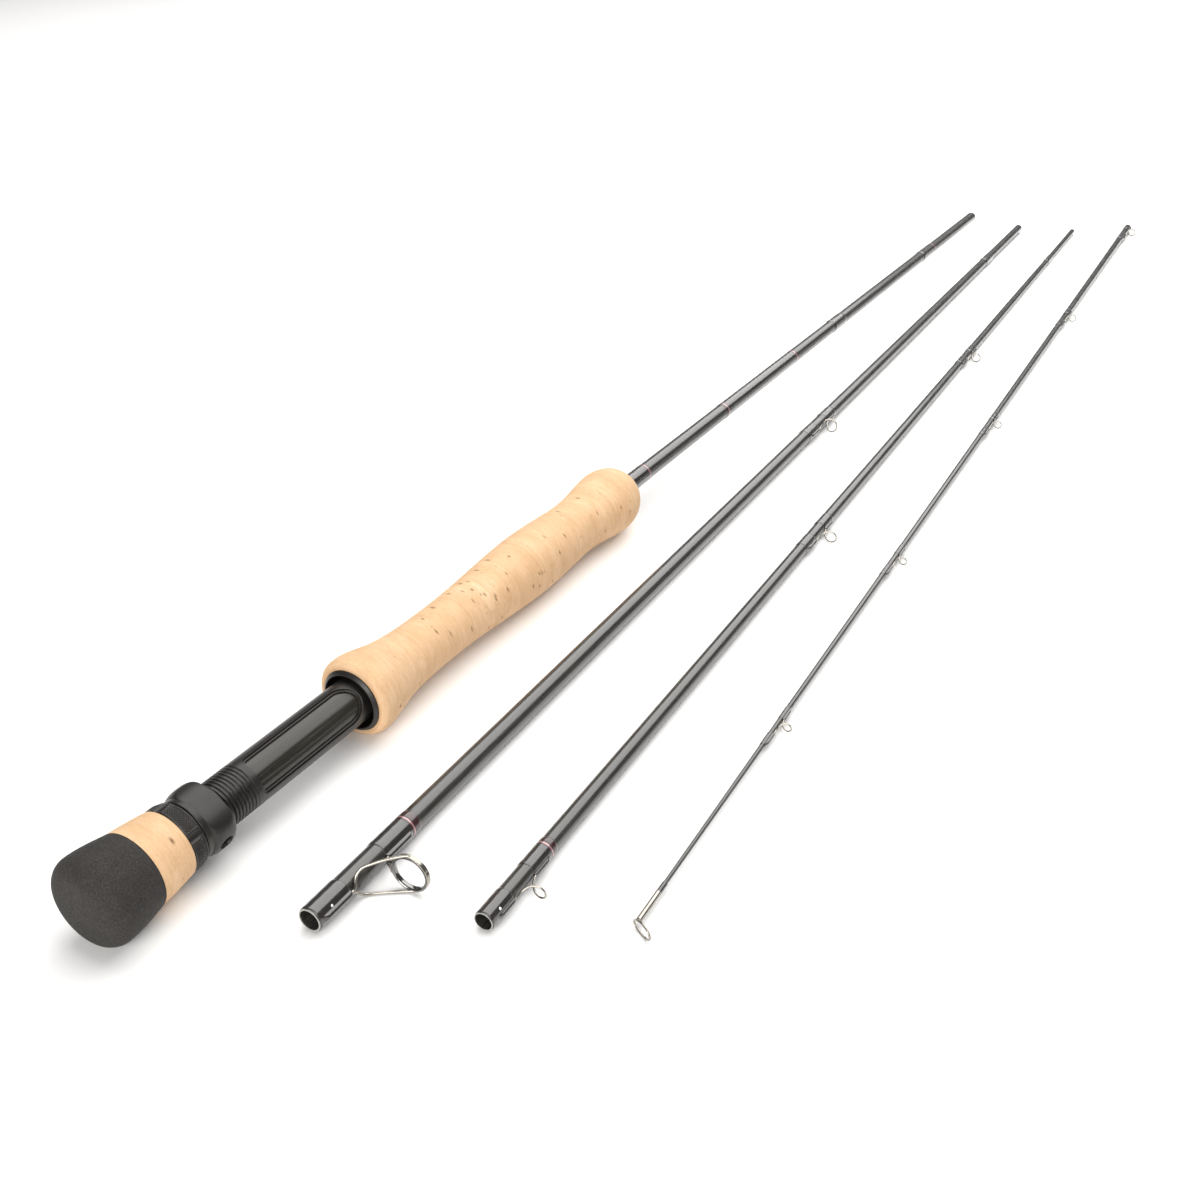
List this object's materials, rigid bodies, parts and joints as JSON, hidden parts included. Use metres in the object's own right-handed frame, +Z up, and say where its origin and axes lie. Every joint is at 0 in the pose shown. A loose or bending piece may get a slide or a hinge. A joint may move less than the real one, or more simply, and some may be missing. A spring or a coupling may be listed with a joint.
{
  "type": "fly rod",
  "caption": "Fly rod taken down into its sections: cork grip, threaded reel seat with sliding hood and lock ring, ferruled blanks, wire line guides and a tip-top.",
  "frame": {"origin": "middle of the laid-out sections' box, on the ground they rest on", "axes": "+Y along the butt section from its foam cap to its spigot, +Z up, +X towards the thinner sections"},
  "size_m": [0.136, 0.8002, 0.027],
  "materials": {
    "anodised_aluminium": "satin anodised",
    "arbor_tape": "matte",
    "carbon_insert": "gloss",
    "ceramic_ring": "polished ceramic",
    "cork": "sanded cork",
    "dot_paint": "gloss",
    "epoxied_wrap": "gloss epoxy over thread",
    "foam": "matte foam",
    "graphite_blank": "gloss",
    "guide_wire": "polished",
    "nylon_washer": "matte",
    "trim_thread": "gloss epoxy over thread"
  },
  "bodies": {
    "butt_section": {"butt_blank": "graphite_blank", "foam_butt_cap": "foam", "cork_butt_ring": "cork", "seat_barrel": "anodised_aluminium", "seat_insert": "carbon_insert", "seat_arbors": "arbor_tape", "fixed_hood": "anodised_aluminium", "grip_ring_01": "cork", "grip_ring_02": "cork", "grip_ring_03": "cork", "grip_ring_04": "cork", "grip_ring_05": "cork", "grip_ring_06": "cork", "grip_ring_07": "cork", "grip_ring_08": "cork", "grip_ring_09": "cork", "grip_ring_10": "cork", "grip_ring_11": "cork", "grip_ring_12": "cork", "grip_ring_13": "cork", "grip_wrap": "epoxied_wrap", "decal_wrap": "epoxied_wrap", "butt_mid_wrap": "epoxied_wrap", "spigot_wrap_1": "epoxied_wrap", "trim_rings_1": "trim_thread"},
    "sliding_hood": {"sliding_hood": "anodised_aluminium", "thrust_washer": "nylon_washer"},
    "lock_ring": {"lock_ring": "anodised_aluminium"},
    "section_2": {"blank_2": "graphite_blank", "socket_wrap_2": "epoxied_wrap", "guide_wrap_2": "epoxied_wrap", "snake_wraps_2": "epoxied_wrap", "spigot_wrap_2": "epoxied_wrap", "trim_rings_2": "trim_thread", "stripping_guide_frame": "guide_wire", "stripping_guide_ring": "ceramic_ring", "snake_guide_2": "guide_wire", "align_dot_2": "dot_paint"},
    "section_3": {"blank_3": "graphite_blank", "socket_wrap_3": "epoxied_wrap", "guide_wrap_3": "epoxied_wrap", "snake_wraps_3": "epoxied_wrap", "spigot_wrap_3": "epoxied_wrap", "trim_rings_3": "trim_thread", "snake_guides_3": "guide_wire", "align_dot_3": "dot_paint"},
    "tip_section": {"tip_blank": "graphite_blank", "socket_wrap_4": "epoxied_wrap", "snake_wraps_4": "epoxied_wrap", "snake_guides_4": "guide_wire", "tip_top_tube": "guide_wire", "tip_top_loop": "guide_wire", "tip_top_wrap": "epoxied_wrap"}
  },
  "joints": [
    {"name": "hood_slide", "type": "slide", "parent": "butt_section", "child": "sliding_hood", "axis": [0, 1, 0], "range_m": [0, 0.02085]},
    {"name": "lock_ring_turn", "type": "hinge", "parent": "sliding_hood", "child": "lock_ring", "pos_m": [-0.05445, -0.36803, 0.01351], "axis": [0, 1, 0], "range_deg": [0, 5760]},
    {"name": "section_2_lift", "type": "slide", "parent": "butt_section", "child": "section_2", "axis": [0, 0, 1], "range_m": [0, 0.3]},
    {"name": "section_3_lift", "type": "slide", "parent": "butt_section", "child": "section_3", "axis": [0, 0, 1], "range_m": [0, 0.3]},
    {"name": "tip_section_lift", "type": "slide", "parent": "butt_section", "child": "tip_section", "axis": [0, 0, 1], "range_m": [0, 0.3]}
  ],
  "couplings": [
    {"joint": "hood_slide", "follows": "lock_ring_turn", "m_per_rad": 0.0002069}
  ]
}
